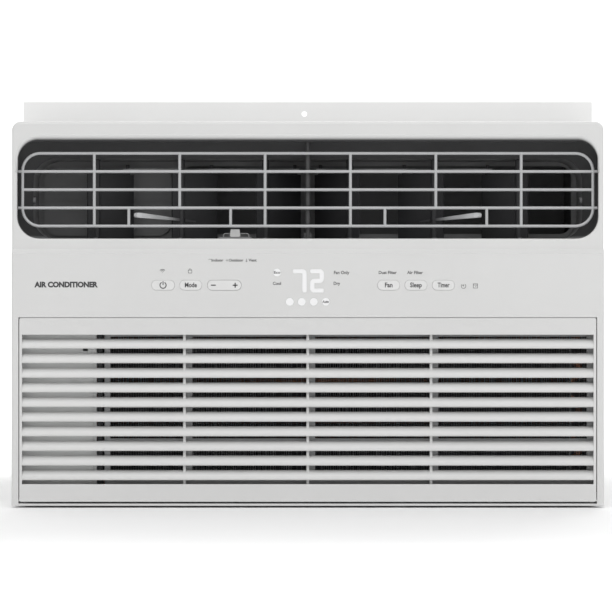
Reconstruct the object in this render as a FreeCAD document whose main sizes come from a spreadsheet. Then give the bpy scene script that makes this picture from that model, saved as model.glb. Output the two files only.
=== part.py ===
"""Window air conditioner with a slide-out chassis, one solid or group of solids per piece.

Frame: +Z up, the front faces -Y, +X is to the right seen from the front.
Origin: middle of the footprint at the underside of the cabinet.  Lengths are in mm.
"""
import FreeCAD, Part
import math
import os
import Sketcher

V = FreeCAD.Vector
doc = FreeCAD.newDocument("window_air_conditioner")
sheet = doc.addObject("Spreadsheet::Sheet", "dims")
pieces = []


class Size:
    """A length that carries both its value and the sheet expression it comes from."""

    def __init__(self, value, text):
        self.value = float(value)
        self.text = text

    def joined(self, sign, other, value):
        return Size(value, f"({self.text} {sign} {size(other).text})")

    def __add__(self, other):
        return self.joined("+", other, self.value + size(other).value)

    def __sub__(self, other):
        return self.joined("-", other, self.value - size(other).value)

    def __mul__(self, other):
        return self.joined("*", other, self.value * size(other).value)

    def __truediv__(self, other):
        return self.joined("/", other, self.value / size(other).value)

    def __radd__(self, other):
        return size(other) + self

    def __rsub__(self, other):
        return size(other) - self

    def __rmul__(self, other):
        return size(other) * self

    def __neg__(self):
        return Size(-self.value, f"(0 - {self.text})")


def size(number):
    """Return a Size for a plain number or for a Size."""
    if isinstance(number, Size):
        return number
    return Size(number, repr(float(number)) if number >= 0 else f"(0 - {repr(-float(number))})")


row_count = 0


def dim(name, value):
    """Put one driving dimension in the sheet and return it."""
    global row_count
    row_count += 1
    sheet.set(f"A{row_count}", name)
    sheet.set(f"B{row_count}", str(value))
    sheet.setAlias(f"B{row_count}", name)
    return Size(value, f"dims.{name}")


# --- driving dimensions -------------------------------------------------------------------
FRONT_WIDE = dim("front_width", 672)
FULL_DEEP = dim("full_depth", 673)
FULL_TALL = dim("full_height", 469)
CABINET_WIDE = dim("cabinet_width", 660)
CABINET_TALL = dim("cabinet_height", 436)
PANEL_DEEP = dim("panel_depth", 118)
SKIN = dim("panel_wall", 3)
SHEET = dim("sheet_metal", 1.2)
PANEL_LOW = dim("panel_bottom", 2)
PANEL_TOP = dim("panel_top", 438)
WELL_LOW = dim("well_bottom", 305)
WELL_TOP = dim("well_top", 421.5)
WELL_WIDE = dim("well_width", 660)
WELL_CORNER = dim("well_corner", 25)
THROAT_WIDE = dim("throat_width", 632)
THROAT_TOP = dim("throat_top", 398)
THROAT_CORNER = dim("throat_corner", 26)
SEAM_UP = dim("grille_seam", 215)
STEP_UP = dim("control_face_top", 293)
STEP = dim("control_face_step", 5)
SLAT_PITCH = dim("slat_pitch", 16.58)
SLAT_TALL = dim("slat_height", 10.9)
SLAT_FIRST = dim("first_slat_bottom", 31.1)
WIRE = dim("guard_wire_radius", 1.7)
GUARD_LOW = dim("guard_bottom", 319.5)
GUARD_TOP = dim("guard_top", 402.4)
GUARD_WIDE = dim("guard_width", 650)
VANE_GAP = dim("vane_spacing", 97.3)
VANE_BACK = dim("vane_tail", 52)
VANE_AHEAD = dim("vane_nose", 13)
LINK_ARM = dim("link_arm", 44)
VANE_THICK = dim("vane_thickness", 2.2)
LEVER_LONG = dim("lever_length", 66)
SHAFT_X = dim("shaft_x", 60)
SHAFT_UP = dim("shaft_height", 185)
SHAFT_R = dim("shaft_radius", 6)
WHEEL_R = dim("blower_radius", 112)
FAN_R = dim("fan_radius", 150)
BUTTON_UP = dim("button_height", 252)
BUTTON_GAP = dim("button_clearance", 0.2)
FILTER_LEFT = dim("filter_left", -231.5)
FILTER_WIDE = dim("filter_width", 556)
FILTER_TALL = dim("filter_height", 176)
PAN_WIDE = dim("pan_width", 650)
SASH_R = dim("sash_hole_radius", 3.2)
doc.recompute()

# --- levels that follow from them ---------------------------------------------------------
FRONT = -FULL_DEEP / 2
REAR = FULL_DEEP / 2
FACE = FRONT + 0.5
UPPER_FACE = FACE + STEP
PANEL_BACK = FRONT + PANEL_DEEP
CABINET_FRONT = PANEL_BACK + 1.5
HALF_PANEL = FRONT_WIDE / 2
HALF_CABINET = CABINET_WIDE / 2
HALF_PAN = PAN_WIDE / 2
PIVOT_Y = UPPER_FACE + 49
GUARD_Y = UPPER_FACE + 12
COIL_FRONT = FACE + 34
COIL_THICK = size(40)
DUCT_BACK = PANEL_BACK - 2
FUNNEL_FRONT = UPPER_FACE + 16
THROAT_FRONT = UPPER_FACE + 40
SCROLL_FRONT = PANEL_BACK + 1
SCROLL_BACK = SCROLL_FRONT + 92
BULKHEAD = SCROLL_BACK + 2
VANE_REST = 50.0


# --- helpers ------------------------------------------------------------------------------
def bind(thing, name, value):
    """Bind one property of a document object to a size."""
    value = size(value)
    thing.setExpression(name, value.text)


def place(thing, x, y, z, axis=None, angle=0.0):
    """Put an object at a point bound to the sheet, turned about an axis by a fixed angle."""
    turn = FreeCAD.Rotation(axis, angle) if axis is not None else FreeCAD.Rotation()
    thing.Placement = FreeCAD.Placement(V(size(x).value, size(y).value, size(z).value), turn)
    bind(thing, "Placement.Base.x", x)
    bind(thing, "Placement.Base.y", y)
    bind(thing, "Placement.Base.z", z)
    return thing


def block(x0, x1, y0, y1, z0, z1):
    """A box between two corners."""
    solid = doc.addObject("Part::Box", "block")
    bind(solid, "Length", size(x1) - x0)
    bind(solid, "Width", size(y1) - y0)
    bind(solid, "Height", size(z1) - z0)
    return place(solid, x0, y0, z0)


WAYS = {"x": (V(0, 1, 0), 90.0), "y": (V(1, 0, 0), -90.0), "z": (None, 0.0)}


def rod(way, radius, x, y, z, length):
    """A cylinder that starts at a point and runs along +x, +y or +z."""
    solid = doc.addObject("Part::Cylinder", "rod")
    bind(solid, "Radius", radius)
    bind(solid, "Height", length)
    axis, angle = WAYS[way]
    return place(solid, x, y, z, axis, angle)


def join(parts):
    """The union of several solids."""
    if len(parts) == 1:
        return parts[0]
    union = doc.addObject("Part::MultiFuse", "union")
    union.Shapes = parts
    union.Refine = True
    return union


def group(parts):
    """Several separate solids kept as one compound."""
    compound = doc.addObject("Part::Compound", "group")
    compound.Links = parts
    return compound


def minus(base, tools):
    """A base solid less one or more tools."""
    cut = doc.addObject("Part::Cut", "cut")
    cut.Base = base
    cut.Tool = tools[0] if len(tools) == 1 else group(tools)
    return cut


def keep(label, thing):
    """Name a finished piece."""
    thing.Label = label
    pieces.append(thing)
    return thing


def made(label, shape):
    """A piece whose shape comes from Part functions."""
    thing = doc.addObject("Part::Feature", "made")
    thing.Shape = shape
    return keep(label, thing)


class Body:
    """A PartDesign body built from sketches that are bound to the sheet."""

    def __init__(self, label):
        self.body = doc.addObject("PartDesign::Body", "body")
        self.label = label
        keep(label, self.body)

    def part(self, role):
        return [part for part in self.body.Origin.OriginFeatures if part.Role == role][0]

    def sketch(self, plane, level):
        """A sketch on an origin plane moved to a level along X (YZ), -Y (XZ) or Z (XY)."""
        sketch = self.body.newObject("Sketcher::SketchObject", "outline")
        sketch.AttachmentSupport = (self.part(f"{plane}_Plane"), [""])
        sketch.MapMode = "FlatFace"
        level = size(level) if plane != "XZ" else -size(level)
        sketch.AttachmentOffset = FreeCAD.Placement(V(0, 0, level.value), FreeCAD.Rotation())
        bind(sketch, "AttachmentOffset.Base.z", level)
        return sketch

    def extrude(self, kind, plane, near, far, draw):
        """Pad or pocket between two levels; draw(sketch) puts the outline in."""
        near, far = size(near), size(far)
        forward = plane == "XZ"
        start = far if forward else near
        sketch = self.sketch(plane, start)
        draw(sketch)
        feature = self.body.newObject(f"PartDesign::{kind}", kind.lower())
        feature.Profile = sketch
        bind(feature, "Length", far - near)
        feature.Reversed = kind == "Pocket"
        doc.recompute()
        return feature

    def pad(self, plane, near, far, draw):
        return self.extrude("Pad", plane, near, far, draw)

    def pocket(self, plane, near, far, draw):
        before = self.body.Shape.Volume
        feature = self.extrude("Pocket", plane, near, far, draw)
        if self.body.Shape.Volume > before - 1e-3:
            raise RuntimeError(f"{self.label}: a pocket removed nothing")
        return feature

    def round_off(self, radius, wanted):
        """Fillet the edges that a test picks."""
        base = self.body.Tip
        names = [f"Edge{i + 1}" for i, edge in enumerate(base.Shape.Edges) if wanted(edge)]
        fillet = self.body.newObject("PartDesign::Fillet", "fillet")
        fillet.Base = (base, names)
        bind(fillet, "Radius", radius)
        doc.recompute()
        return fillet

    def loft(self, kind, near, draw_near, far, draw_far):
        """Add or remove a straight-sided loft between outlines at two levels along Y."""
        outlines = []
        for level, draw in ((near, draw_near), (far, draw_far)):
            sketch = self.sketch("XZ", level)
            draw(sketch)
            outlines.append(sketch)
        feature = self.body.newObject(f"PartDesign::{kind}Loft", kind.lower())
        feature.Profile = outlines[0]
        feature.Sections = [outlines[1]]
        feature.Ruled = True
        doc.recompute()
        return feature

    def repeat(self, originals, role, length, count):
        """A linear pattern along an origin axis."""
        pattern = self.body.newObject("PartDesign::LinearPattern", "row")
        pattern.Originals = originals
        pattern.Direction = (self.part(role), [""])
        bind(pattern, "Length", length)
        pattern.Occurrences = count
        self.body.Tip = pattern
        doc.recompute()
        return pattern


def fix_point(sketch, geometry, corner, x, y):
    """Bind one sketch point to two sizes measured from the sketch origin."""
    for kind, value in (("DistanceX", size(x)), ("DistanceY", size(y))):
        index = sketch.addConstraint(
            Sketcher.Constraint(kind, -1, 1, geometry, corner, value.value))
        bind(sketch, f"Constraints[{index}]", value)


def polygon(points):
    """An outline through points given as pairs of sizes."""
    def draw(sketch):
        first = sketch.GeometryCount
        count = len(points)
        flat = [V(size(a).value, size(b).value, 0) for a, b in points]
        for i in range(count):
            sketch.addGeometry(Part.LineSegment(flat[i], flat[(i + 1) % count]), False)
        for i in range(count):
            sketch.addConstraint(
                Sketcher.Constraint("Coincident", first + i, 2, first + (i + 1) % count, 1))
        for i, (a, b) in enumerate(points):
            fix_point(sketch, first + i, 1, a, b)
    return draw


def rectangle(a0, a1, b0, b1):
    return polygon([(a0, b0), (a1, b0), (a1, b1), (a0, b1)])


def soft_rectangle(a0, a1, b0, b1, corner):
    """A rectangle with four equal round corners."""
    a0, a1, b0, b1, corner = [size(value) for value in (a0, a1, b0, b1, corner)]

    def draw(sketch):
        first = sketch.GeometryCount
        centres = [(a0 + corner, b0 + corner, 180), (a1 - corner, b0 + corner, 270),
                   (a1 - corner, b1 - corner, 0), (a0 + corner, b1 - corner, 90)]
        for a, b, start in centres:
            circle = Part.Circle(V(a.value, b.value, 0), V(0, 0, 1), corner.value)
            arc = Part.ArcOfCircle(circle, math.radians(start), math.radians(start + 90))
            sketch.addGeometry(arc, False)
        for i in range(4):
            start = sketch.getPoint(first + i, 2)
            end = sketch.getPoint(first + (i + 1) % 4, 1)
            sketch.addGeometry(Part.LineSegment(start, end), False)
        for i in range(4):
            sketch.addConstraint(Sketcher.Constraint("Tangent", first + i, 2, first + 4 + i, 1))
            sketch.addConstraint(
                Sketcher.Constraint("Tangent", first + 4 + i, 2, first + (i + 1) % 4, 1))
        index = sketch.addConstraint(Sketcher.Constraint("Radius", first, corner.value))
        bind(sketch, f"Constraints[{index}]", corner)
        for i in range(1, 4):
            sketch.addConstraint(Sketcher.Constraint("Equal", first, first + i))
        fix_point(sketch, first, 3, centres[0][0], centres[0][1])
        fix_point(sketch, first + 2, 3, centres[2][0], centres[2][1])
        sketch.addConstraint(Sketcher.Constraint("Horizontal", first + 4))
        sketch.addConstraint(Sketcher.Constraint("Vertical", first + 5))
    return draw


def circles(spots, radius):
    """Equal circles at several points."""
    def draw(sketch):
        for a, b in spots:
            geometry = sketch.GeometryCount
            centre = V(size(a).value, size(b).value, 0)
            sketch.addGeometry(Part.Circle(centre, V(0, 0, 1), size(radius).value), False)
            fix_point(sketch, geometry, 3, a, b)
            index = sketch.addConstraint(
                Sketcher.Constraint("Radius", geometry, size(radius).value))
            bind(sketch, f"Constraints[{index}]", radius)
    return draw


def together(*outlines):
    """Several outlines in one sketch."""
    def draw(sketch):
        for outline in outlines:
            outline(sketch)
    return draw


def edge_along(edge, direction):
    """True for a straight edge along a direction."""
    if not isinstance(edge.Curve, Part.Line):
        return False
    return abs(abs(edge.Curve.Direction.dot(direction)) - 1) < 1e-6


# --- control layout -----------------------------------------------------------------------
CONTROL_KEYS = {
    "button_power": (-164.0, 26.0),
    "button_mode": (-132.6, 25.0),
    "button_fan": (91.7, 25.0),
    "button_sleep": (122.6, 25.0),
    "button_timer": (153.8, 25.0),
}
ROCKER_X = -94.5
ROCKER_WIDE = 38.0
KEY_TALL = size(11.2)
DOT_R = size(4.6)
DOT_UP = size(233.2)
DOTS = [(-20.4, DOT_UP), (-6.8, DOT_UP), (6.8, DOT_UP), (20.4, DOT_UP), (-34.9, 266.4)]
DIGIT_TALL = size(27.0)
DIGIT_WIDE = size(15.8)
DIGIT_LOW = size(243.4)
STROKE = size(5.0)
DIGIT_ROUND = size(2.2)
DIGIT_BEND = size(5.0)
SEVEN_LEFT = size(-17.0)
TWO_LEFT = size(2.6)


def seven(left, low, gap):
    """Outline of the figure 7, shrunk by a gap on every side."""
    left, low, gap = size(left) + gap, size(low) + gap, size(gap)
    right = left + DIGIT_WIDE - gap * 2
    top = low + DIGIT_TALL - gap * 2
    stroke = STROKE - gap * 2
    return polygon([(left, top - stroke), (right - stroke, top - stroke), (right - stroke, low),
                    (right, low), (right, top), (left, top)])


def two(left, low, gap):
    """Outline of the figure 2, shrunk by a gap on every side."""
    left, low, gap = size(left) + gap, size(low) + gap, size(gap)
    right = left + DIGIT_WIDE - gap * 2
    top = low + DIGIT_TALL - gap * 2
    stroke = STROKE - gap * 2
    middle = low + (top - low) / 2
    half = stroke / 2
    return polygon([
        (left, low), (right, low), (right, low + stroke), (left + stroke, low + stroke),
        (left + stroke, middle - half), (right, middle - half), (right, top), (left, top),
        (left, top - stroke), (right - stroke, top - stroke), (right - stroke, middle + half),
        (left, middle + half)])


def well_rim(edge):
    """True for the front edges of the outlet well opening."""
    box = edge.BoundBox
    level = abs(box.YMax - UPPER_FACE.value) < 1e-4 and box.YLength < 1e-4
    inside = box.ZMin > WELL_LOW.value - 1 and box.ZMax < WELL_TOP.value + 1
    return level and inside and max(-box.XMin, box.XMax) < WELL_WIDE.value / 2 + 1


def digit_edge(edge):
    """True for the short edges through the face in the area of the two figures."""
    box = edge.BoundBox
    inside = abs(box.Center.x - 0.8) < 19 and DIGIT_LOW.value - 1 < box.Center.z
    low_enough = box.Center.z < (DIGIT_LOW + DIGIT_TALL).value + 1
    return edge_along(edge, V(0, 1, 0)) and inside and low_enough


def outer_bend(edge):
    """True for the edges at the outer bends of the two figures."""
    top = DIGIT_LOW + DIGIT_TALL
    middle = DIGIT_LOW + DIGIT_TALL / 2
    bends = [(SEVEN_LEFT + DIGIT_WIDE, top), (TWO_LEFT + DIGIT_WIDE, top),
             (TWO_LEFT + DIGIT_WIDE, middle - STROKE / 2), (TWO_LEFT, middle + STROKE / 2),
             (TWO_LEFT, DIGIT_LOW)]
    spot = edge.BoundBox.Center
    near = [abs(spot.x - x.value) + abs(spot.z - z.value) < 0.6 for x, z in bends]
    return digit_edge(edge) and any(near)


def stroke_end(edge):
    """True for the edges at the stroke ends of the two figures."""
    top = DIGIT_LOW + DIGIT_TALL
    ends = [(SEVEN_LEFT, top), (SEVEN_LEFT, top - STROKE), (TWO_LEFT, top),
            (TWO_LEFT, top - STROKE), (SEVEN_LEFT + DIGIT_WIDE, DIGIT_LOW),
            (SEVEN_LEFT + DIGIT_WIDE - STROKE, DIGIT_LOW), (TWO_LEFT + DIGIT_WIDE, DIGIT_LOW),
            (TWO_LEFT + DIGIT_WIDE, DIGIT_LOW + STROKE)]
    spot = edge.BoundBox.Center
    near = [abs(spot.x - x.value) + abs(spot.z - z.value) < 0.6 for x, z in ends]
    return digit_edge(edge) and any(near)


def soften_figures(body):
    """Round the outer bends and the stroke ends of the two figures."""
    body.round_off(DIGIT_BEND, outer_bend)
    body.round_off(DIGIT_ROUND, stroke_end)


def key_outline(x, wide, grow):
    """A pill outline in the control face; grow widens it all round."""
    half = size(wide) / 2 + grow
    tall = KEY_TALL / 2 + grow
    return soft_rectangle(x - half, x + half, BUTTON_UP - tall, BUTTON_UP + tall, tall - 0.4)


# --- front panel --------------------------------------------------------------------------
def front_panel():
    """Moulded front with the outlet well opening, the control face and the grille opening."""
    panel = Body("front_panel")
    inner = HALF_PANEL - SKIN
    corner = size(10)
    panel.pad("XZ", UPPER_FACE, PANEL_BACK,
              soft_rectangle(-HALF_PANEL, HALF_PANEL, PANEL_LOW, PANEL_TOP, corner))
    panel.round_off(3, lambda edge: abs(edge.BoundBox.YMax - UPPER_FACE.value) < 1e-4)
    panel.pad("YZ", -HALF_PANEL, HALF_PANEL, polygon([
        (UPPER_FACE + 4, PANEL_LOW), (FACE, PANEL_LOW), (FACE, STEP_UP - STEP),
        (UPPER_FACE, STEP_UP), (UPPER_FACE + 4, STEP_UP)]))
    panel.round_off(3, lambda edge: edge_along(edge, V(0, 0, 1)) and
                    abs(edge.BoundBox.YMax - FACE.value) < 1e-4)
    panel.pocket("XZ", UPPER_FACE + SKIN, PANEL_BACK,
                 rectangle(-inner, inner, PANEL_LOW + 2, PANEL_TOP - SKIN))
    panel.pocket("XZ", FACE + SKIN, UPPER_FACE + SKIN,
                 rectangle(-inner, inner, PANEL_LOW + 2, STEP_UP - STEP - SKIN))
    half_well = WELL_WIDE / 2
    panel.pocket("XZ", UPPER_FACE - 1, UPPER_FACE + SKIN + 1,
                 soft_rectangle(-half_well, half_well, WELL_LOW, WELL_TOP, WELL_CORNER))
    opening = HALF_PANEL - 8
    panel.pocket("XZ", FACE - 1, FACE + SKIN + 1, rectangle(-opening, opening, 4.4, SEAM_UP + 0.5))
    panel.round_off(2, well_rim)
    panel.pad("YZ", -inner - 1, inner + 1, polygon([
        (FACE + SKIN - 1, SEAM_UP + 0.5), (FACE + 12.5, SEAM_UP + 0.5), (FACE + 12.5, SEAM_UP - 6),
        (FACE + 13.9, SEAM_UP - 6), (FACE + 13.9, SEAM_UP + 2.5), (FACE + SKIN - 1, SEAM_UP + 2.5)]))
    keys = [key_outline(x, wide, BUTTON_GAP) for x, wide in CONTROL_KEYS.values()]
    keys.append(key_outline(size(ROCKER_X), ROCKER_WIDE, BUTTON_GAP + 0.12))
    keys.append(circles(DOTS, DOT_R))
    keys.append(seven(SEVEN_LEFT, DIGIT_LOW, 0))
    keys.append(two(TWO_LEFT, DIGIT_LOW, 0))
    panel.pocket("XZ", FACE - 1, FACE + SKIN + 1, together(*keys))
    soften_figures(panel)
    panel.pocket("YZ", inner - 1, HALF_PANEL + 1,
                 rectangle(FACE + 13, FACE + 22.6, 21, 203))
    panel.pocket("YZ", inner - 1, HALF_PANEL + 1, circles([(PANEL_BACK - 30, 40)], 10))
    return panel


def outlet_duct():
    """Dark inner well: a mouth that narrows to a throat, and a back wall beside the outlet."""
    duct = Body("outlet_duct")
    half = WELL_WIDE / 2
    inner = THROAT_WIDE / 2
    wall = size(2)
    front = UPPER_FACE + SKIN
    floor = WELL_LOW + 0.5

    def mouth(grow):
        return soft_rectangle(-half - grow, half + grow, WELL_LOW - grow, WELL_TOP + grow,
                              WELL_CORNER + grow)

    def throat(grow):
        return soft_rectangle(-inner - grow, inner + grow, floor - grow, THROAT_TOP + grow,
                              THROAT_CORNER + grow)

    duct.pad("XZ", front, FUNNEL_FRONT, mouth(wall))
    duct.loft("Additive", FUNNEL_FRONT, mouth(wall), THROAT_FRONT, throat(wall))
    duct.pad("XZ", THROAT_FRONT, DUCT_BACK, throat(wall))
    duct.pad("XZ", DUCT_BACK - 2.4, DUCT_BACK, mouth(wall))
    duct.pocket("XZ", front - 1, FUNNEL_FRONT, mouth(0))
    duct.loft("Subtractive", FUNNEL_FRONT, mouth(0), THROAT_FRONT, throat(0))
    duct.pocket("XZ", THROAT_FRONT, DUCT_BACK - 2.4, throat(0))
    duct.pocket("XZ", DUCT_BACK - 4, DUCT_BACK,
                soft_rectangle(-150, inner - 6, WELL_LOW + 8, THROAT_TOP - 5, 14))
    duct.pad("XZ", DUCT_BACK - 5, DUCT_BACK - 2,
             soft_rectangle(-inner + 6, -160, WELL_LOW + 6, THROAT_TOP - 6, 16))
    duct.pocket("XZ", DUCT_BACK - 6, DUCT_BACK - 4,
                rectangle(-inner + 5, -158, WELL_LOW + 46, WELL_LOW + 47.2))
    duct.pad("XY", WELL_LOW - 0.5, WELL_LOW + 2.2,
             soft_rectangle(-102, -64, front + 9.5, front + 25.5, 3))
    duct.pocket("XY", WELL_LOW - wall - 1, WELL_LOW + 3,
                soft_rectangle(-98, -68, front + 13.5, front + 21.5, 2))
    spots = [(x, PIVOT_Y) for x in vane_spots()]
    duct.pocket("XY", WELL_LOW - wall - 1, WELL_LOW + 1, circles(spots, 2.9))
    duct.pocket("XY", THROAT_TOP - 1, THROAT_TOP + wall + 1, circles(spots, 2.9))
    return duct


def vane_spots():
    """X of the six vane pivots, left to right."""
    return [VANE_GAP * step for step in (-2.5, -1.5, -0.5, 0.5, 1.5, 2.5)]


def centre_divider():
    """Upright web in the middle of the well, wider at its foot."""
    back = DUCT_BACK - 6
    web = block(-1.5, 1.5, GUARD_Y + 4, back, WELL_LOW + 0.6, THROAT_TOP - 0.1)
    foot = block(-4.5, 4.5, GUARD_Y + 4, GUARD_Y + 9, WELL_LOW + 0.1, WELL_LOW + 7)
    nose = rod("z", 2.6, 0, GUARD_Y + 5.5, WELL_LOW + 0.1, WELL_TOP - WELL_LOW - 6)
    keep("centre_divider", join([web, foot, nose]))


def quarter_turn(x, z, turn, bend):
    """A quarter bend of guard wire in the plane of the front."""
    ring = doc.addObject("Part::Torus", "bend")
    bind(ring, "Radius1", bend)
    bind(ring, "Radius2", WIRE)
    ring.Angle3 = 90
    flat = FreeCAD.Rotation(V(1, 0, 0), 90)
    spin = FreeCAD.Rotation(V(0, 1, 0), -turn)
    place(ring, x, GUARD_Y, z)
    ring.Placement.Rotation = spin.multiply(flat)
    return ring


def wire_guard():
    """Round-cornered ring with five rails, six uprights, and bars beside the lever gaps."""
    half = GUARD_WIDE / 2
    bend = size(20)
    rows = [GUARD_LOW + (GUARD_TOP - GUARD_LOW) * step / 4 for step in range(5)]
    bars = []
    for level in (rows[0], rows[4]):
        bars.append(rod("x", WIRE, -half + bend, GUARD_Y, level, half * 2 - bend * 2))
    for level in rows[1:4]:
        bars.append(rod("x", WIRE, -half, GUARD_Y, level, half * 2))
    for x in (-half, half):
        bars.append(rod("z", WIRE, x, GUARD_Y, rows[0] + bend, rows[4] - rows[0] - bend * 2))
    for x, z, turn in ((half - bend, rows[4] - bend, 0), (-half + bend, rows[4] - bend, 90),
                       (-half + bend, rows[0] + bend, 180), (half - bend, rows[0] + bend, 270)):
        bars.append(quarter_turn(x, z, turn, bend))
    for index, x in enumerate(vane_spots()):
        low = rows[1] if index in (1, 4) else rows[0]
        bars.append(rod("z", WIRE, x, GUARD_Y, low, rows[4] - low))
    for x in (VANE_GAP * -1.5, VANE_GAP * 1.5):
        for side in (-58, 58):
            bars.append(rod("z", WIRE, x + side, GUARD_Y, rows[0], rows[1] - rows[0]))
    for x in (-half - 5, half):
        for level in (rows[1], rows[3]):
            bars.append(rod("x", WIRE, x, GUARD_Y, level, 5))
    keep("wire_guard", join(bars))


def turned(thing, x, y, angle):
    """Turn a group of solids about an upright axis through a point."""
    spin = FreeCAD.Placement(V(0, 0, 0), FreeCAD.Rotation(V(0, 0, 1), angle), V(0, 0, 0))
    centre = V(size(x).value, size(y).value, 0)
    thing.Placement = FreeCAD.Placement(centre, FreeCAD.Rotation()).multiply(spin)
    bind(thing, "Placement.Base.x", x)
    bind(thing, "Placement.Base.y", y)
    return thing


VANE_LOW = WELL_LOW + 2
VANE_HIGH = WELL_LOW + 76
LINK_UP = VANE_HIGH + 5


def vane(label, x, angle):
    """One upright vane with its pivot post, top arm and link pin, made about its own pivot."""
    half = VANE_THICK / 2
    plate = block(-half, half, -VANE_AHEAD, VANE_BACK, VANE_LOW, VANE_HIGH)
    post = rod("z", 4, 0, 0, VANE_LOW, THROAT_TOP - 1 - VANE_LOW)
    foot = rod("z", 2.4, 0, 0, WELL_LOW - 1.5, THROAT_TOP - WELL_LOW + 3)
    arm = block(-3, 3, 0, LINK_ARM, VANE_HIGH - 0.5, VANE_HIGH + 3.5)
    tip = rod("z", 3, 0, LINK_ARM, VANE_HIGH - 0.5, 4)
    pin = rod("z", 2, 0, LINK_ARM, VANE_HIGH, 11.5)
    keep(label, turned(join([plate, post, foot, arm, tip, pin]), x, PIVOT_Y, angle))


def vane_lever(label, x, angle):
    """Light finger lever on the middle vane: round thick tip, tapering to a thin tail."""
    body = Body(label)
    tail = size(24)
    slope = 2.5
    nose = size(2.8)
    tip = -LEVER_LONG + nose
    side = [(tail, 0), (tail, 1.4), (tip + 8, nose * 1.9)]
    for turn in (90, 120, 150, 180, 210, 240, 270):
        around = math.radians(turn)
        side.append((tip + nose * math.cos(around), nose + nose * math.sin(around)))
    body.pad("YZ", -4, 4, polygon(side))
    for way in (-1, 1):
        body.pocket("XY", -1, 7, polygon([
            (way * 5, -LEVER_LONG - 1), (way * 2.2, -LEVER_LONG - 1), (way * 4, tip + 3),
            (way * 2.4, 2), (way * 0.9, tail + 1), (way * 5, tail + 1)]))
    half = VANE_THICK / 2 + 0.1
    body.pocket("XY", -1, 7, rectangle(-half, half, -VANE_AHEAD - 0.4, VANE_BACK))
    body.pocket("XY", -1, 7, circles([(0, 0)], 4.6))
    lever = body.body
    turned(lever, x, PIVOT_Y, angle)
    bind(lever, "Placement.Base.z", WELL_LOW + 21.3)
    tilt = FreeCAD.Rotation(V(1, 0, 0), -slope)
    lever.Placement.Rotation = lever.Placement.Rotation.multiply(tilt)


def link_bar(label, x_middle, angle):
    """Flat bar that joins the three link pins of a bank."""
    shift = math.radians(angle)
    arm_x = LINK_ARM * -math.sin(shift)
    arm_y = LINK_ARM * math.cos(shift)
    x = size(x_middle) + arm_x
    y = PIVOT_Y + arm_y
    bar = block(x - VANE_GAP - 5, x + VANE_GAP + 5, y - 3.6, y + 3.6, LINK_UP, LINK_UP + 2)
    holes = [rod("z", 2.35, x + VANE_GAP * step, y, LINK_UP - 1, 5) for step in (-1, 0, 1)]
    keep(label, minus(bar, holes))


def vanes():
    """Two banks of three vanes, splayed outwards, with a lever on each middle vane."""
    spots = vane_spots()
    for index, x in enumerate(spots[:3]):
        vane(f"vane_left_{index + 1}", x, -VANE_REST)
    for index, x in enumerate(spots[3:]):
        vane(f"vane_right_{index + 1}", x, VANE_REST)
    vane_lever("lever_left", spots[1], -VANE_REST)
    vane_lever("lever_right", spots[4], VANE_REST)
    link_bar("link_left", spots[1], -VANE_REST)
    link_bar("link_right", spots[4], VANE_REST)


def vent_pieces():
    """Slide knob for the fresh-air door, its rim in the well floor, and the door itself."""
    y = UPPER_FACE + SKIN + 17.5
    x = -83
    knob = Body("vent_knob")
    knob.pad("XZ", y - 3, y + 3, polygon([
        (x - 5, WELL_LOW - 7), (x + 5, WELL_LOW - 7), (x + 5, WELL_LOW + 3), (x + 6, WELL_LOW + 3),
        (x + 5, WELL_LOW + 11), (x - 5, WELL_LOW + 11), (x - 6, WELL_LOW + 3),
        (x - 5, WELL_LOW + 3)]))
    door = block(-31, 31, 0.4, 2.4, -52, -1)
    hinge = rod("x", 2, -31, 1.4, 0, 62)
    flap = join([door, hinge])
    place(flap, -275, BULKHEAD + 3.2, 372, V(1, 0, 0), 15)
    keep("vent_door", flap)


# --- intake grille and filter -------------------------------------------------------------
def intake_grille():
    """Tilting grille: ten curved slats, end frames, top blank, bottom rim and three ribs."""
    grille = Body("intake_grille")
    half = HALF_PANEL - 9
    back = FACE + 12
    low = size(6.6)
    slat_top = SLAT_FIRST + SLAT_PITCH * 9 + SLAT_TALL
    grille.pad("XZ", FACE, back, soft_rectangle(-half, half, low, SEAM_UP - 0.1, 2))
    grille.pocket("XZ", FACE + 2.4, back + 1,
                  rectangle(-half + 2.4, half - 2.4, low + 2.4, SEAM_UP - 2.8))
    grille.pocket("XZ", FACE - 1, FACE + 3,
                  rectangle(-half + 3, half - 3, SLAT_FIRST - 4.7, slat_top + 4.7))
    z = SLAT_FIRST
    slat = grille.pad("YZ", -half + 2.5, half - 2.5, polygon([
        (FACE + 1.6, z - 0.2), (FACE + 0.5, z + 0.1), (FACE, z + 1.0),
        (FACE + 0.2, z + SLAT_TALL * 0.24), (FACE + 0.9, z + SLAT_TALL * 0.42),
        (FACE + 2.1, z + SLAT_TALL * 0.58), (FACE + 3.8, z + SLAT_TALL * 0.74),
        (FACE + 5.9, z + SLAT_TALL * 0.88), (FACE + 8.6, z + SLAT_TALL),
        (FACE + 9.3, z + SLAT_TALL - 1.4), (FACE + 6.6, z + SLAT_TALL * 0.72),
        (FACE + 4.2, z + SLAT_TALL * 0.52), (FACE + 2.7, z + SLAT_TALL * 0.30),
        (FACE + 2.4, z + 1.2)]))
    grille.repeat([slat], "Z_Axis", SLAT_PITCH * 9, 10)
    ribs = [rectangle(x - 1.5, x + 1.5, low + 1, slat_top + 6) for x in (-140, 0, 140)]
    grille.pad("XZ", FACE + 5, back - 1, together(*ribs))
    for side in (-1, 1):
        near, far = sorted([side * (half.value - 2), side * (half.value + 0.6)])
        grille.pad("YZ", near, far, circles([(FACE + 4, 10)], 2))
    return grille


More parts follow.
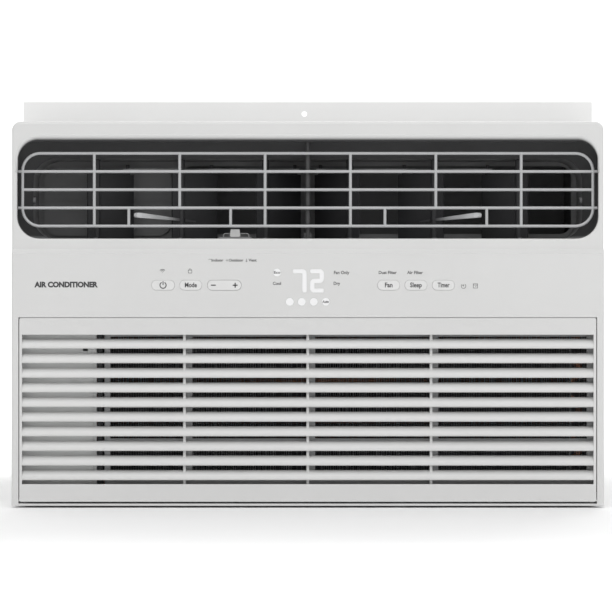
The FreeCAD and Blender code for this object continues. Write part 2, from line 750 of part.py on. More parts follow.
def filter_parts():
    """Dust filter: a ribbed frame with a pull tab and its fine mesh."""
    left = FILTER_LEFT
    right = left + FILTER_WIDE
    low = size(24)
    high = low + FILTER_TALL
    front = FACE + 15
    back = front + 5
    frame = Body("filter_frame")
    frame.pad("XZ", front, back, soft_rectangle(left, right, low, high, 4))
    ribs = [left + 3, size(-135), size(5), size(145), right - 3]
    rows = [low + 3, low + 50, low + 92, high - 3]
    half = 3.5
    windows = []
    for a, b in zip(ribs[:-1], ribs[1:]):
        for c, d in zip(rows[:-1], rows[1:]):
            windows.append(rectangle(a + half, b - half, c + half, d - half))
    frame.pocket("XZ", front - 1, back + 1, together(*windows))
    frame.pad("XZ", front + 1, back - 1, soft_rectangle(right - 4, HALF_PANEL - 0.5, 92, 132, 3))
    keep("filter_mesh", block(left + 6, right - 6, back + 0.1, back + 0.9, low + 6, high - 6))


def filter_rails():
    """C-shaped guide that the filter slides in."""
    left = FILTER_LEFT - 8
    right = HALF_PANEL - SKIN - 0.5
    front = FACE + 13.4
    back = FACE + 22.4
    low = size(17)
    high = low + FILTER_TALL + 14
    rails = Body("filter_rails")
    rails.pad("XZ", front, back, polygon([
        (left, low), (right, low), (right, low + 6), (left + 6, low + 6), (left + 6, high - 6),
        (right, high - 6), (right, high), (left, high)]))
    return rails


def side_cover():
    """Blank pale cover beside the filter with a small square sensor window."""
    cover = Body("side_cover")
    left = -HALF_PANEL + SKIN + 1
    right = FILTER_LEFT - 9
    cover.pad("XZ", FACE + 14, FACE + 18, soft_rectangle(left, right, 14, 208, 3))
    cover.pad("XZ", FACE + 17, FACE + 23, rectangle(left + 2, right - 2, 16, 206))
    cover.pocket("XZ", FACE + 16, FACE + 24, rectangle(left + 5, right - 5, 19, 203))
    cover.pocket("XZ", FACE + 13, FACE + 19, rectangle(-256, -250.5, 177, 190))
    cover.pocket("XZ", FACE + 13, FACE + 15, rectangle(-244.5, -243.2, 18, 172))
    return cover


# --- control pieces -----------------------------------------------------------------------
def push_key(label, x, wide):
    """Pill-shaped key cap with a retaining flange behind the control face."""
    key = Body(label)
    key.pad("XZ", FRONT, FACE + SKIN + 1.2, key_outline(size(x), wide, 0))
    half = size(wide) / 2 + 2
    tall = KEY_TALL / 2 + 2
    key.pad("XZ", FACE + SKIN + 1.2, FACE + SKIN + 2.4,
            rectangle(x - half, x + half, BUTTON_UP - tall, BUTTON_UP + tall))
    key.pad("XZ", FACE + SKIN + 2.4, FACE + SKIN + 4.2, circles([(x, BUTTON_UP)], 2))
    key.round_off(0.4, lambda edge: abs(edge.BoundBox.YMax - FRONT.value) < 1e-4)
    return key


def controls():
    """Five keys, the temperature rocker, light pipes, circuit board and rear cover."""
    for label, (x, wide) in CONTROL_KEYS.items():
        push_key(label, x, wide)
    rocker = push_key("rocker_temperature", ROCKER_X, ROCKER_WIDE)
    rocker.pad("XY", BUTTON_UP - 7, BUTTON_UP + 7, circles([(ROCKER_X, FACE + 5.2)], 1.6))
    digits = Body("display_digits")
    depth = FACE + SKIN + 3
    digits.pad("XZ", FACE, depth,
               together(seven(SEVEN_LEFT, DIGIT_LOW, 0.12), two(TWO_LEFT, DIGIT_LOW, 0.12)))
    soften_figures(digits)
    digits.pad("XZ", depth - 1, depth,
               rectangle(-17.4, 18.6, DIGIT_LOW + 0.2, DIGIT_LOW + DIGIT_TALL - 0.2))
    lights = [rod("y", DOT_R - 0.12, x, FACE, z, depth - FACE) for x, z in DOTS]
    keep("status_lights", group(lights))
    board = Body("control_board")
    board.pad("XZ", FACE + SKIN + 8, FACE + SKIN + 9.6,
              soft_rectangle(-188, 178, 222, 284, 2))
    chips = [rectangle(x, x + 18, 228, 240) for x in (-150, -60, 60, 130)]
    board.pad("XZ", FACE + SKIN + 9.6, FACE + SKIN + 12, together(*chips))
    shell = Body("control_housing")
    shell.pad("XZ", FACE + SKIN + 5.6, FACE + SKIN + 17, soft_rectangle(-196, 186, 219, 288, 4))
    shell.pocket("XZ", FACE + SKIN + 4, FACE + SKIN + 15.4,
                 soft_rectangle(-194, 184, 221, 286, 3))


# --- refrigeration ------------------------------------------------------------------------
def finned_coil(prefix, left, right, low, high, front, thick, rows):
    """Fin block joined to its two end plates, and tube bends at both ends."""
    fins = Body(f"{prefix}_coil")
    fins.pad("XZ", front, front + thick, rectangle(left, right, low, high))
    groove_pitch = size(20)
    count = int((size(right).value - size(left).value) / groove_pitch.value) - 1
    groove = fins.pocket("XZ", front - 1, front + 0.8,
                         rectangle(left + groove_pitch, left + groove_pitch + 1.2, low - 1,
                                   high + 1))
    fins.repeat([groove], "X_Axis", groove_pitch * (count - 1), count)
    for start in (left - 1.6, right):
        fins.pad("YZ", start, start + 1.6,
                 rectangle(front - 3, front + thick + 3, low - 2, high + 2))
    pitch = (size(high) - low) / rows
    bends = []
    for side, x in ((-1, size(left) - 1.6), (1, size(right) + 1.6)):
        for index in range(rows - 1):
            if (index % 2 == 0) == (side > 0):
                continue
            z = size(low) + pitch * (index + 1)
            bend = doc.addObject("Part::Torus", "u_bend")
            bind(bend, "Radius1", pitch / 2)
            bend.Radius2 = 4.2
            bend.Angle3 = 180
            place(bend, x, size(front) + thick / 2, z)
            upright = FreeCAD.Rotation(V(1, 0, 0), 90)
            swing = FreeCAD.Rotation(V(0, 1, 0), 90 if side > 0 else -90)
            bend.Placement.Rotation = swing.multiply(upright)
            bends.append(bend)
    keep(f"{prefix}_bends", group(bends))


def pipe(points, radius, bend):
    """A solid tube along straight runs with round bends between them."""
    corners = [V(*[size(value).value for value in point]) for point in points]
    edges = []
    start = corners[0]
    for before, corner, after in zip(corners[:-2], corners[1:-1], corners[2:]):
        inward = (corner - before).normalize()
        outward = (after - corner).normalize()
        turn = inward.getAngle(outward)
        reach = bend * math.tan(turn / 2)
        first = corner - inward * reach
        last = corner + outward * reach
        bisector = (outward - inward).normalize()
        middle = corner + bisector * (bend / math.cos(turn / 2) - bend)
        edges.append(Part.LineSegment(start, first).toShape())
        edges.append(Part.Arc(first, middle, last).toShape())
        start = last
    edges.append(Part.LineSegment(start, corners[-1]).toShape())
    spine = Part.Wire(edges)
    profile = Part.Wire([Part.makeCircle(radius, corners[0], corners[1] - corners[0])])
    return spine.makePipeShell([profile], True, False)


COMPRESSOR_X = size(-212)
COMPRESSOR_Y = size(-12)


def compressor():
    """Rotary compressor with domed ends, a three-lobed foot and rubber mounts."""
    shell = Body("compressor")
    radius = size(70)
    low = size(24)
    shell.pad("XY", low, low + 232, circles([(COMPRESSOR_X, COMPRESSOR_Y)], radius))
    shell.round_off(22, lambda edge: isinstance(edge.Curve, Part.Circle))
    shell.pad("XY", low + 4, low + 8, soft_rectangle(
        COMPRESSOR_X - 82, COMPRESSOR_X + 82, COMPRESSOR_Y - 66, COMPRESSOR_Y + 66, 20))
    spots = compressor_feet()
    shell.pocket("XY", low + 3, low + 9, circles(spots, 6.2))
    shell.pad("XY", low + 228, low + 240, circles([(COMPRESSOR_X + 26, COMPRESSOR_Y)], 17))
    mounts = []
    for x, y in spots:
        mounts.append(join([rod("z", 10, x, y, 7.1, 20.8), rod("z", 6, x, y, 27, 8),
                            rod("z", 9, x, y, 32.2, 4)]))
    keep("compressor_mounts", group(mounts))
    keep("accumulator", join([
        rod("z", 26, COMPRESSOR_X + 4, COMPRESSOR_Y + 108, 60, 150),
        rod("z", 14, COMPRESSOR_X + 4, COMPRESSOR_Y + 108, 50, 172)]))


def compressor_feet():
    return [(COMPRESSOR_X - 70, COMPRESSOR_Y - 54), (COMPRESSOR_X + 70, COMPRESSOR_Y - 54),
            (COMPRESSOR_X - 70, COMPRESSOR_Y + 54), (COMPRESSOR_X + 70, COMPRESSOR_Y + 54)]


def pipework():
    """Suction, discharge and liquid lines between the compressor and the two coils."""
    x, y = COMPRESSOR_X, COMPRESSOR_Y
    discharge = pipe([
        (x - 20, y, 256.1), (x - 20, y, 330), (x - 20, y + 150, 330), (x - 70, y + 150, 330),
        (x - 70, y + 230, 330), (x - 70, y + 230, 380), (x - 92, y + 230, 380),
        (x - 92, REAR - 60, 380)], 4.0, 9.0)
    suction = pipe([
        (x + 4, y + 108, 222), (x + 4, y + 108, 300), (x - 84, y + 108, 300),
        (x - 84, y + 108, 96), (x - 84, BULKHEAD - 100, 96), (x - 84, BULKHEAD - 100, 154),
        (x - 84, COIL_FRONT + 20, 154), (x - 26.4, COIL_FRONT + 20, 154)], 5.0, 11.0)
    back = pipe([
        (x + 4, y + 108, 50), (x + 4, y + 108, 40), (x + 4, y + 91, 40)], 5.0, 6.0)
    liquid = pipe([
        (x - 78, REAR - 60, 60), (x - 78, y + 140, 60),
        (x - 78, y + 140, 74), (x - 78, BULKHEAD - 106, 74), (x - 78, BULKHEAD - 106, 46),
        (x - 78, COIL_FRONT + 20, 46), (x - 78, COIL_FRONT + 20, 63.5),
        (x - 26.4, COIL_FRONT + 20, 63.5)], 2.6, 6.0)
    made("copper_lines", Part.makeCompound([discharge, suction, back, liquid]))


# --- air moving ---------------------------------------------------------------------------
def air_scroll():
    """Foam block with the blower cavity and a throat that widens up to the well."""
    scroll = Body("air_scroll")
    floor = SCROLL_FRONT + 86
    scroll.pad("XZ", SCROLL_FRONT, SCROLL_BACK, rectangle(-236, 318, 8, 424))
    scroll.pocket("XZ", SCROLL_FRONT, floor, circles([(SHAFT_X, SHAFT_UP)], WHEEL_R + 13))
    scroll.pocket("XZ", SCROLL_FRONT, floor, polygon([
        (SHAFT_X - WHEEL_R - 12, SHAFT_UP), (SHAFT_X + WHEEL_R + 12, SHAFT_UP),
        (310, 313), (310, 416), (-150, 416), (-150, 313)]))
    scroll.pocket("XZ", floor, SCROLL_BACK, circles([(SHAFT_X, SHAFT_UP)], 20))
    return scroll


def orifice_plate():
    """Inlet plate in front of the blower with a bell mouth."""
    plate = Body("orifice_plate")
    plate.pad("XZ", PANEL_BACK - 2.4, PANEL_BACK, rectangle(-238, 318, 8, 301))
    plate.pad("XZ", PANEL_BACK - 8, PANEL_BACK, circles([(SHAFT_X, SHAFT_UP)], 96))
    plate.pocket("XZ", PANEL_BACK - 9, PANEL_BACK, circles([(SHAFT_X, SHAFT_UP)], 88))
    return plate


def bulkhead():
    """Sheet wall between the room side and the outdoor side."""
    wall = Body("bulkhead")
    wall.pad("XZ", BULKHEAD, BULKHEAD + 1.2, rectangle(-318, 318, 6.2, 428))
    wall.pocket("XZ", BULKHEAD - 1, BULKHEAD + 2, circles([(SHAFT_X, SHAFT_UP)], 24))
    wall.pocket("XZ", BULKHEAD - 1, BULKHEAD + 2, soft_rectangle(-304, -266, 60, 112, 6))
    wall.pocket("XZ", BULKHEAD - 1, BULKHEAD + 2, rectangle(-302, -248, 326, 366))
    wall.pad("XY", 6.2, 7.4, rectangle(-318, 318, BULKHEAD, BULKHEAD + 14))
    for side in (-310, -243):
        ear = size(side)
        wall.pad("YZ", ear, ear + 3, rectangle(BULKHEAD + 0.6, BULKHEAD + 9, 367, 378))
        wall.pocket("YZ", ear - 1, ear + 4, circles([(BULKHEAD + 4.55, 372.36)], 2.3))
    return wall


def blade_ring(label, count, near, far, radius):
    """Blower wheel: curved blades between a back plate and a front ring, on a hub."""
    x, z = SHAFT_X.value, SHAFT_UP.value
    outer, inner = radius.value, radius.value - 20
    depth = far.value - near.value
    middle = V(x, near.value, z)
    ahead = V(0, 1, 0)
    plate = Part.makeCylinder(outer, 1.6, V(x, far.value - 1.6, z), ahead)
    ring = Part.makeCylinder(outer, 4, middle, ahead)
    ring = ring.cut(Part.makeCylinder(outer - 3, 6, V(x, near.value - 1, z), ahead))
    hub = Part.makeCylinder(18, 26, V(x, far.value - 26, z), ahead)
    shape = plate.fuse([ring, hub])
    blades = []
    for index in range(count):
        arc_in = V(inner, 0, -5)
        arc_mid = V((inner + outer) / 2, 0, 0.5)
        arc_out = V(outer - 1, 0, 3)
        curve = Part.Arc(arc_in, arc_mid, arc_out).toShape()
        face = curve.extrude(V(0, depth - 1, 0))
        blade = face.extrude(V(0, 0, 1.1))
        blade.rotate(V(0, 0, 0), ahead, index * 360.0 / count)
        blade.translate(V(x, near.value + 0.5, z))
        blades.append(blade)
    shape = shape.fuse(blades)
    bore = Part.makeCylinder(SHAFT_R.value, 40, V(x, far.value - 34, z), ahead)
    made(label, shape.cut(bore).removeSplitter())


def propeller(label, near, far):
    """Condenser fan: hub, five pitched blades and the slinger ring round their tips."""
    x, z = SHAFT_X.value, SHAFT_UP.value
    ahead = V(0, 1, 0)
    deep = far.value - near.value
    hub = Part.makeCylinder(30, deep, V(x, near.value, z), ahead)
    radius = FAN_R.value
    ring = Part.makeCylinder(radius, 14, V(x, far.value - 18, z), ahead)
    ring = ring.cut(Part.makeCylinder(radius - 2.4, 16, V(x, far.value - 19, z), ahead))
    blades = []
    for index in range(5):
        sections = []
        for reach, chord, pitch in ((24, 46, 42.0), (86, 82, 30.0), (radius - 1.2, 104, 20.0)):
            half = chord / 2
            wire = Part.makePolygon([
                V(reach, -1.2, -half), V(reach, 1.2, -half), V(reach, 1.2, half),
                V(reach, -1.2, half), V(reach, -1.2, -half)])
            wire.rotate(V(reach, 0, 0), V(1, 0, 0), pitch)
            sections.append(wire)
        blade = Part.makeLoft(sections, True, False)
        blade.rotate(V(0, 0, 0), ahead, index * 72.0)
        blade.translate(V(x, near.value + deep / 2, z))
        blades.append(blade)
    rim = Part.makeCylinder(radius, deep + 40, V(x, near.value - 20, z), ahead)
    shape = hub.fuse([ring] + [blade.common(rim) for blade in blades])
    bore = Part.makeCylinder(SHAFT_R.value, 80, V(x, near.value - 10, z), ahead)
    made(label, shape.cut(bore).removeSplitter())


def rotor():
    """Shaft with the blower wheel in front and the condenser fan behind."""
    near = SCROLL_FRONT + 5
    blade_ring("blower_wheel", 36, near, near + 74, WHEEL_R)
    propeller("condenser_fan", size(118), size(152))
    keep("fan_shaft", rod("y", SHAFT_R - 0.02, SHAFT_X, near + 44, SHAFT_UP, 158 - near - 44))


def fan_motor():
    """Motor can with end bells, and the stand that carries it."""
    motor = Body("fan_motor")
    middle = (SHAFT_X, SHAFT_UP)
    motor.pad("XZ", size(-108), size(-4), circles([middle], 62))
    motor.round_off(12, lambda edge: isinstance(edge.Curve, Part.Circle))
    motor.pad("XZ", size(-118), size(6), circles([middle], 19))
    motor.pocket("XZ", size(-120), size(8), circles([middle], SHAFT_R + 0.05))
    stand = Body("motor_stand")
    stand.pad("XZ", -62, -58, polygon([
        (SHAFT_X - 84, 6.2), (SHAFT_X + 84, 6.2), (SHAFT_X + 62, SHAFT_UP + 8),
        (SHAFT_X - 62, SHAFT_UP + 8)]))
    stand.pad("XY", 6.2, 8.6, rectangle(SHAFT_X - 84, SHAFT_X + 84, -90, -30))
    stand.pad("XZ", -84, -36, circles([middle], 66))
    stand.pocket("XZ", -90, -30, circles([middle], 62.3))
    return stand


def fan_shroud():
    """Plate with a round collar that the condenser fan turns in."""
    shroud = Body("fan_shroud")
    middle = (SHAFT_X, SHAFT_UP)
    shroud.pad("XZ", 172, 173.6, rectangle(-262, 310, 8, 420))
    shroud.pad("XZ", 138, 172, circles([middle], FAN_R + 14))
    shroud.pocket("XZ", 130, 180, circles([middle], FAN_R + 11))
    return shroud


def run_capacitor():
    """Run capacitor can in its strap on the bulkhead."""
    x, y = size(262), BULKHEAD + 30
    keep("run_capacitor", join([rod("z", 24, x, y, 300, 90), rod("z", 22, x, y, 298, 94),
                                block(x - 9, x - 6, y - 3, y + 3, 390, 402),
                                block(x + 6, x + 9, y - 3, y + 3, 390, 402)]))
    keep("capacitor_strap", minus(
        join([rod("z", 25.4, x, y, 334, 14),
              block(x - 36, x + 36, BULKHEAD + 1.3, BULKHEAD + 5.6, 334, 348)]),
        [rod("z", 24.1, x, y, 330, 22)]))


# --- structure ----------------------------------------------------------------------------
def base_pan():
    """Pressed tray that carries everything on the chassis."""
    pan = Body("base_pan")
    front, back = PANEL_BACK + 2, REAR - 6
    pan.pad("XY", 4, 42, soft_rectangle(-HALF_PAN, HALF_PAN, front, back, 6))
    pan.pocket("XY", 5.4, 43, soft_rectangle(
        -HALF_PAN + 1.4, HALF_PAN - 1.4, front + 1.4, back - 1.4, 4.6))
    pan.pocket("XZ", back - 3, back + 1, rectangle(-HALF_PAN + 20, HALF_PAN - 20, 20, 43))
    pan.pad("XY", 4.4, 7, soft_rectangle(
        COMPRESSOR_X - 92, COMPRESSOR_X + 92, COMPRESSOR_Y - 76, COMPRESSOR_Y + 76, 12))
    pan.pocket("XY", 3, 9, circles([(size(250), size(230))], 9))
    nose = PANEL_BACK + 3.4
    pan.pad("XY", 4, 5.4, rectangle(-HALF_PAN + 2, HALF_PAN - 2, COIL_FRONT - 6, nose))
    pan.pad("XZ", COIL_FRONT - 6, COIL_FRONT - 4.8,
            rectangle(-HALF_PAN + 2, HALF_PAN - 2, 4, 14))
    pan.pocket("XZ", front - 1, front + 2, rectangle(-HALF_PAN + 5, HALF_PAN - 5, 6.2, 43))
    keep("drain_plug", join([rod("z", 8.4, 250, 230, 2.4, 5),
                             rod("z", 13, 250, 230, 5.5, 3)]))


def cabinet_wrap():
    """Four-sided sheet-metal sleeve with pressed air louvres in both sides and the top."""
    wrap = Body("cabinet_wrap")
    inner = HALF_CABINET - SHEET
    wrap.pad("XZ", CABINET_FRONT, REAR,
             soft_rectangle(-HALF_CABINET, HALF_CABINET, 0, CABINET_TALL, 5))
    wrap.pocket("XZ", CABINET_FRONT - 1, REAR + 1,
                soft_rectangle(-inner, inner, SHEET, CABINET_TALL - SHEET, 3.8))
    for start in (0, 106):
        slot = wrap.pocket("YZ", -HALF_CABINET - 1, HALF_CABINET + 1,
                           rectangle(start, start + 92, 70, 75))
        wrap.repeat([slot], "Z_Axis", size(17) * 17, 18)
    for start in (-240, 60):
        slot = wrap.pocket("XY", CABINET_TALL - 3, CABINET_TALL + 1,
                           rectangle(start, start + 180, 20, 25))
        wrap.repeat([slot], "Y_Axis", size(17) * 7, 8)
    wrap.pocket("XY", -1, SHEET + 1, circles(bracket_holes(), 3.5))
    wrap.pocket("XY", -1, SHEET + 1, circles([(250, 230)], 16))
    wrap.pocket("XZ", CABINET_FRONT - 1, REAR + 1, rectangle(-inner + 3, inner - 3, SHEET, 1.3))
    return wrap


def bracket_holes():
    return [(x, y) for x in (-240, 240) for y in (60, 180)]


def rails():
    """Top rail with the sash screw hole, bottom rail, and the runners under the chassis."""
    half = HALF_PANEL - 1
    rail = Body("top_rail")
    rail.pad("YZ", -half, half, polygon([
        (CABINET_FRONT + 1, CABINET_TALL), (CABINET_FRONT + 34, CABINET_TALL),
        (CABINET_FRONT + 34, CABINET_TALL + 1.6), (CABINET_FRONT + 2.6, CABINET_TALL + 1.6),
        (CABINET_FRONT + 2.6, FULL_TALL), (CABINET_FRONT + 1, FULL_TALL)]))
    rail.pocket("XZ", CABINET_FRONT, CABINET_FRONT + 4,
                circles([(-4, CABINET_TALL + 18.8)], SASH_R))
    rail.round_off(0.5, lambda edge: edge_along(edge, V(1, 0, 0)) and
                   abs(edge.BoundBox.ZMax - FULL_TALL.value) < 1e-4)
    runners = [block(x - 12, x + 12, CABINET_FRONT + 6, REAR - 20, SHEET, 3.9)
               for x in (-286, 286)]
    keep("chassis_runners", group(runners))


def fasteners():
    """Rail screws on the cabinet top, well screws, and the small floor screws at the pivots."""
    top = CABINET_TALL + 1.6
    keep("rail_screws", group([rod("z", 4.5, x, CABINET_FRONT + 20, top, 2.4)
                               for x in (-300, -150, 0, 150, 300)]))
    half = THROAT_WIDE / 2
    y = THROAT_FRONT + 6
    level = WELL_LOW + 45
    head = size(3)
    screws = [rod("x", 4.5, -half, y, level, head), rod("x", 4.5, half - head, y, level, head)]
    screws += [rod("z", 2.6, x, UPPER_FACE + 30, WELL_LOW + 0.4, 1.4) for x in vane_spots()]
    screws += [rod("z", 5, x, y, 36.3, 5) for x, y in compressor_feet()]
    keep("chassis_screws", group(screws))


def cord_gland():
    """Rubber grommet in the right side of the front panel where the supply cord comes out."""
    y = PANEL_BACK - 30
    outer = HALF_PANEL - SKIN
    keep("cord_gland", minus(
        join([rod("x", 9.9, outer, y, 40, SKIN), rod("x", 13, outer - 3, y, 40, 3)]),
        [rod("x", 5, outer - 5, y, 40, SKIN + 8)]))


def sensor():
    """Room temperature bulb in its clip in front of the evaporator."""
    keep("sensor_bulb", rod("x", 3.2, -120, COIL_FRONT - 6.2, 206, 70))
    clips = [minus(block(x, x + 6, COIL_FRONT - 11, COIL_FRONT, 201, 211),
                   [rod("x", 3.3, x - 1, COIL_FRONT - 6.2, 206, 8)]) for x in (-112, -68)]
    keep("sensor_clips", group(clips))


def build():
    front_panel()
    outlet_duct()
    centre_divider()
    wire_guard()
    vanes()
    vent_pieces()
    intake_grille()
    filter_parts()
    filter_rails()
    side_cover()
    controls()
    finned_coil("evaporator", size(-236), size(300), size(18), size(292), COIL_FRONT,
                COIL_THICK, 12)
    finned_coil("condenser", size(-282), size(300), size(12), size(416), REAR - 74, size(44), 16)
    compressor()
    pipework()
    air_scroll()
    orifice_plate()
    bulkhead()
    rotor()
    fan_motor()
    fan_shroud()
    run_capacitor()
    base_pan()
    cabinet_wrap()
    rails()
    fasteners()
    cord_gland()
    sensor()


def check_and_write():
    """Stop on any broken object, then write one STEP file for each piece."""
    doc.recompute()
    for thing in doc.Objects:
        if "Invalid" in thing.State or "Error" in thing.State:
            raise RuntimeError(f"{thing.Name} ({thing.Label}) is {thing.State}")
    os.makedirs("parts", exist_ok=True)
    for piece in pieces:
        shape = piece.Shape
        if shape.isNull() or not shape.isValid() or shape.Volume <= 0:
            raise RuntimeError(f"{piece.Label} has no valid shape")
        shape.exportStep(f"parts/{piece.Label}.step")


build()
check_and_write()
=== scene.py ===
import math

import bmesh
import bpy
from mathutils import Matrix, Vector


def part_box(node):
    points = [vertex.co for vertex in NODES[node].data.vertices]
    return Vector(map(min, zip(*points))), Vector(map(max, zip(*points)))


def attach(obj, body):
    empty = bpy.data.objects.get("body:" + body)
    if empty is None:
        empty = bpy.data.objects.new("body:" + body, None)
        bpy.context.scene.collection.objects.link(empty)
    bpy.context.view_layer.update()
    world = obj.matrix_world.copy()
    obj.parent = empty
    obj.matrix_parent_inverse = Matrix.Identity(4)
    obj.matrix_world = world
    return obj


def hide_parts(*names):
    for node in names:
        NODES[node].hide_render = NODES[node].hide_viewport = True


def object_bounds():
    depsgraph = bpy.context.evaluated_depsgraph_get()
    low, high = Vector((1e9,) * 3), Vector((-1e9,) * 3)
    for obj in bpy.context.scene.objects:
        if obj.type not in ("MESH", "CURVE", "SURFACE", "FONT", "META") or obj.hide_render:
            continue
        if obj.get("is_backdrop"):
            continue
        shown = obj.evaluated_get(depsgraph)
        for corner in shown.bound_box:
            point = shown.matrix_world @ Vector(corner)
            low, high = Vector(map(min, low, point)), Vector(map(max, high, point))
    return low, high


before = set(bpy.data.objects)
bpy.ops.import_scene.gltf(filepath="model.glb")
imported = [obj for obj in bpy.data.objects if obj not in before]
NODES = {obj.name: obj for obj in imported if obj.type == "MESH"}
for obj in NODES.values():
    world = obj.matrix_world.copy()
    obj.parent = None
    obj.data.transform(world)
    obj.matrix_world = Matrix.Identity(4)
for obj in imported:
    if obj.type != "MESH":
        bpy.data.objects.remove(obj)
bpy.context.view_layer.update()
scene = bpy.context.scene
scene.view_settings.view_transform = "Standard"
scene.view_settings.look = "None"
MM = 0.001


# --- materials ----------------------------------------------------------------------------
def node_of(tree, kind, **values):
    """A new shader node with some of its inputs set."""
    node = tree.nodes.new(kind)
    for name, value in values.items():
        node.inputs[name.replace("_", " ")].default_value = value
    return node


def band(tree, axis, start, end):
    """A ramp from 0 to 1 between two levels along one axis of the object."""
    place = tree.nodes.new("ShaderNodeTexCoord")
    parts = tree.nodes.new("ShaderNodeSeparateXYZ")
    tree.links.new(place.outputs["Object"], parts.inputs["Vector"])
    ramp = node_of(tree, "ShaderNodeMapRange", From_Min=start, From_Max=end)
    ramp.interpolation_type = "SMOOTHSTEP"
    tree.links.new(parts.outputs[axis], ramp.inputs["Value"])
    return ramp.outputs["Result"]


def tint(material, colour, factor):
    """Blend a material's paint towards another colour by a factor socket."""
    tree = material.node_tree
    shader = tree.nodes["Principled BSDF"]
    paint = shader.inputs["Base Color"].links[0].from_socket
    blend = tree.nodes.new("ShaderNodeMix")
    blend.data_type = "RGBA"
    blend.inputs["B"].default_value = (*colour, 1)
    tree.links.new(factor, blend.inputs["Factor"])
    tree.links.new(paint, blend.inputs["A"])
    tree.links.new(blend.outputs["Result"], shader.inputs["Base Color"])


def worn_spots(tree, place, wear):
    """Factor for scattered patches of dust, as strong as wear."""
    spots = node_of(tree, "ShaderNodeTexNoise", Scale=70.0, Detail=8.0, Roughness=0.7)
    tree.links.new(place.outputs["Object"], spots.inputs["Vector"])
    gate = node_of(tree, "ShaderNodeMapRange", From_Min=0.56, From_Max=0.72)
    tree.links.new(spots.outputs["Fac"], gate.inputs["Value"])
    amount = tree.nodes.new("ShaderNodeMath")
    amount.operation = "MULTIPLY"
    amount.inputs[1].default_value = wear
    tree.links.new(gate.outputs["Result"], amount.inputs[0])
    return amount.outputs[0]


def finish(name, colour, roughness, metal=0.0, grain=900.0, bump=0.06, mottle=0.03, wear=0.0,
           coat=0.0, specular=0.5):
    """A procedural surface with fine grain, slow colour drift, and faint dust or wear."""
    material = bpy.data.materials.new(name)
    material.use_nodes = True
    tree = material.node_tree
    shader = tree.nodes["Principled BSDF"]
    shader.inputs["Metallic"].default_value = metal
    shader.inputs["Coat Weight"].default_value = coat
    shader.inputs["Coat Roughness"].default_value = 0.25
    shader.inputs["Specular IOR Level"].default_value = specular
    place = tree.nodes.new("ShaderNodeTexCoord")
    fine = node_of(tree, "ShaderNodeTexNoise", Scale=grain, Detail=4.0, Roughness=0.6)
    slow = node_of(tree, "ShaderNodeTexNoise", Scale=9.0, Detail=5.0, Roughness=0.55)
    for noise in (fine, slow):
        tree.links.new(place.outputs["Object"], noise.inputs["Vector"])
    ramp = tree.nodes.new("ShaderNodeValToRGB")
    low = [max(0.0, part * (1 - mottle * 2)) for part in colour]
    high = [min(1.0, part * (1 + mottle)) for part in colour]
    ramp.color_ramp.elements[0].position = 0.3
    ramp.color_ramp.elements[1].position = 0.7
    ramp.color_ramp.elements[0].color = (*low, 1)
    ramp.color_ramp.elements[1].color = (*high, 1)
    tree.links.new(slow.outputs["Fac"], ramp.inputs["Fac"])
    paint = ramp.outputs["Color"]
    tree.links.new(paint, shader.inputs["Base Color"])
    if wear:
        dust = [part * 0.55 + 0.16 for part in colour]
        tint(material, dust, worn_spots(tree, place, wear))
    rough = node_of(tree, "ShaderNodeMapRange", To_Min=max(0.02, roughness - 0.07),
                    To_Max=min(1.0, roughness + 0.09))
    tree.links.new(fine.outputs["Fac"], rough.inputs["Value"])
    tree.links.new(rough.outputs["Result"], shader.inputs["Roughness"])
    relief = node_of(tree, "ShaderNodeBump", Strength=bump, Distance=0.0002)
    tree.links.new(fine.outputs["Fac"], relief.inputs["Height"])
    tree.links.new(relief.outputs["Normal"], shader.inputs["Normal"])
    return material


def glow(name, colour, strength):
    """A lit diffuser with a faint mottled spread of light."""
    material = finish(name, colour, 0.5, grain=500.0)
    tree = material.node_tree
    shader = tree.nodes["Principled BSDF"]
    shader.inputs["Emission Strength"].default_value = strength
    tree.links.new(tree.nodes["Color Ramp"].outputs["Color"], shader.inputs["Emission Color"])
    return material


# Levels between which painted light and shade change on a piece: Y runs back from the front, Z runs
# up
MOUTH_PAINTED_LIGHT = (-0.292, -0.280)
FLOOR_PAINTED_LIGHT = (0.3095, 0.3065)
LIP_PAINTED_SHADE_DEPTHS = (-0.3309, -0.3278)
LEVER_PAINTED_SHADE_DEPTHS = (-0.304, -0.284)


def painted_light_deep_or_low(tree):
    """Factor for painted light that turns on behind the well's mouth, and on its floor, leaving
    painted shade on the dark funnel near the mouth.
    """
    either = tree.nodes.new("ShaderNodeMath")
    either.operation = "MAXIMUM"
    tree.links.new(band(tree, "Y", *MOUTH_PAINTED_LIGHT), either.inputs[0])
    tree.links.new(band(tree, "Z", *FLOOR_PAINTED_LIGHT), either.inputs[1])
    return either.outputs["Value"]


WHITE = finish("panel_white", (0.63, 0.63, 0.625), 0.42, grain=1400, bump=0.10, mottle=0.008)
GRILLE = finish("grille_white", (0.625, 0.625, 0.62), 0.40, grain=1400, bump=0.10, mottle=0.008)
KEY = finish("key_white", (0.68, 0.68, 0.675), 0.30, grain=1200, mottle=0.006, coat=0.2)
DUCT = finish("duct_dark", (0.046, 0.046, 0.047), 0.62, grain=1100, bump=0.15, mottle=0.05)
WELL_WITH_PAINTED_LIGHT = finish("well_dark_painted_light", (0.046, 0.046, 0.047), 0.62, grain=1100, bump=0.15, mottle=0.05)
# painted light: the well's back wall and floor are painted lighter than the same dark plastic near
# the mouth
tint(WELL_WITH_PAINTED_LIGHT, (0.205, 0.205, 0.208), painted_light_deep_or_low(WELL_WITH_PAINTED_LIGHT.node_tree))
LIP_WITH_PAINTED_SHADE = finish("lip_white_painted_shade", (0.63, 0.63, 0.625), 0.42, grain=1400, bump=0.10, mottle=0.008)
